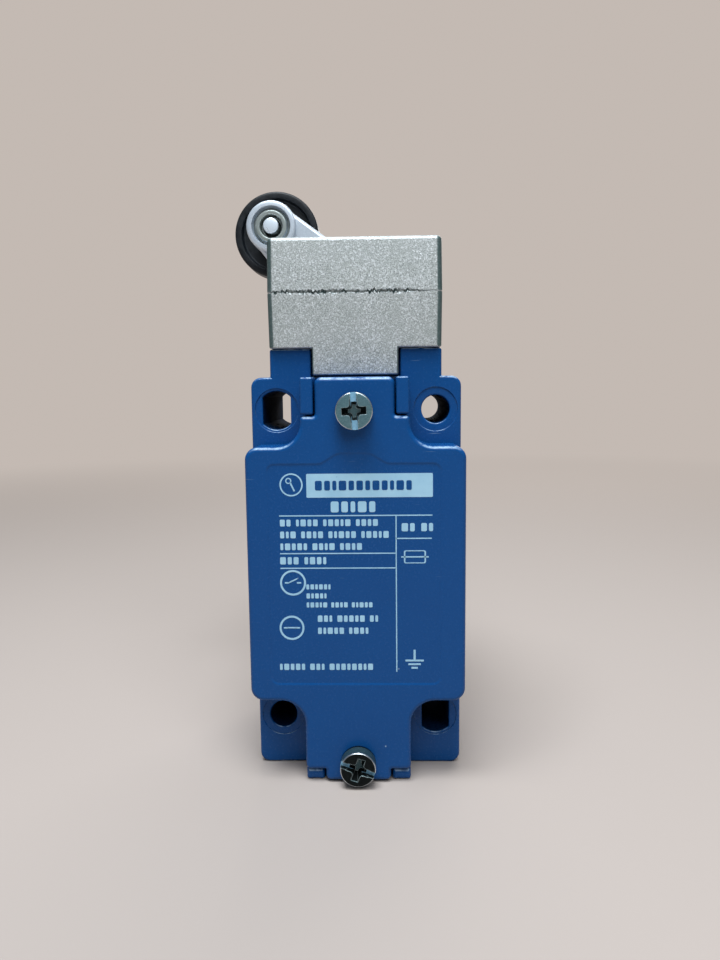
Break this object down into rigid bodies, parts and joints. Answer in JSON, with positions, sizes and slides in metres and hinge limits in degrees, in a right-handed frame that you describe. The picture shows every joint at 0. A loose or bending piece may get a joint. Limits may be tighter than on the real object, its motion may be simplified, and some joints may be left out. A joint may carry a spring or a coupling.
{
  "type": "limit switch",
  "caption": "Metal-bodied limit switch: screwed front cover, turret head and sprung rotary lever with a free roller, working contacts through a plunger inside the sealed body.",
  "frame": {"origin": "centre of the rectangular fixing-hole pattern on the flat mounting face", "axes": "+Z from the cable entry towards the head, +Y out of the mounting face (the front cover faces -Y), +X to the right seen from the front"},
  "size_m": [0.05, 0.0617, 0.1211],
  "materials": {
    "blue_paint": "satin blue epoxy over die-cast zinc, slight orange peel",
    "blasted_zinc": "shot-blasted die-cast zinc, sparkly grey",
    "bright_zinc": "smooth as-cast zinc",
    "plated_steel": "zinc plated, satin",
    "dull_steel": "dull oxidised plating with worn edges",
    "brass": "bright",
    "contact_silver": "silver alloy on bronze",
    "roller_plastic": "moulded black thermoplastic",
    "block_plastic": "moulded light grey",
    "plunger_plastic": "moulded natural acetal",
    "seal_rubber": "nitrile"
  },
  "bodies": {
    "housing": {"body_casting": "blue_paint", "cover": "blue_paint", "cover_gasket": "seal_rubber", "cover_screw_top": "dull_steel", "cover_screw_bottom": "dull_steel", "screw_seal_top": "seal_rubber", "screw_seal_bottom": "seal_rubber", "head_casting": "blasted_zinc", "head_gasket": "seal_rubber", "head_screw_front_left": "plated_steel", "head_screw_front_right": "plated_steel", "head_screw_rear_left": "plated_steel", "head_screw_rear_right": "plated_steel", "plunger_guide": "plunger_plastic", "shaft_bush": "brass", "shaft_seal": "seal_rubber", "return_spring": "plated_steel", "contact_block_housing": "block_plastic", "fixed_contact_nc_left": "brass", "fixed_contact_nc_right": "brass", "fixed_contact_no_left": "brass", "fixed_contact_no_right": "brass", "clamp_washer_nc_left": "plated_steel", "clamp_washer_nc_right": "plated_steel", "clamp_washer_no_left": "plated_steel", "clamp_washer_no_right": "plated_steel", "terminal_screw_nc_left": "plated_steel", "terminal_screw_nc_right": "plated_steel", "terminal_screw_no_left": "plated_steel", "terminal_screw_no_right": "plated_steel", "block_screw_left": "plated_steel", "block_screw_right": "plated_steel", "earth_washer": "brass", "earth_screw": "brass", "contact_spring": "plated_steel"},
    "lever": {"shaft": "plated_steel", "cam": "plated_steel", "lever": "bright_zinc", "notched_washer": "plated_steel", "lever_nut": "plated_steel", "roller_pin": "plated_steel", "roller_bush": "brass"},
    "roller": {"roller": "roller_plastic"},
    "plunger": {"return_piston": "plunger_plastic", "piston_seal": "seal_rubber", "pushrod": "plated_steel"},
    "contact_carrier": {"contact_plunger": "plunger_plastic", "contact_bridge_nc": "contact_silver", "contact_bridge_no": "contact_silver"}
  },
  "joints": [
    {"name": "lever_swing", "type": "hinge", "parent": "housing", "child": "lever", "pos_m": [0, 0, 0.0515], "axis": [0, 1, 0], "range_deg": [-75, 75], "stiffness_Nm_per_rad": 0.3},
    {"name": "roller_spin", "type": "hinge", "parent": "lever", "child": "roller", "pos_m": [-0.01997, 0.016, 0.07112], "axis": [0, 1, 0], "continuous": true},
    {"name": "plunger_slide", "type": "slide", "parent": "housing", "child": "plunger", "axis": [0, 0, -1], "range_m": [0, 0.0024], "stiffness_N_per_m": 2500, "deforming": ["return_spring"]},
    {"name": "contact_slide", "type": "slide", "parent": "housing", "child": "contact_carrier", "axis": [0, 0, -1], "range_m": [0, 0.0024], "stiffness_N_per_m": 600, "deforming": ["contact_spring"]}
  ],
  "couplings": [
    {"joint": "contact_slide", "follows": "plunger_slide", "ratio": 1}
  ]
}
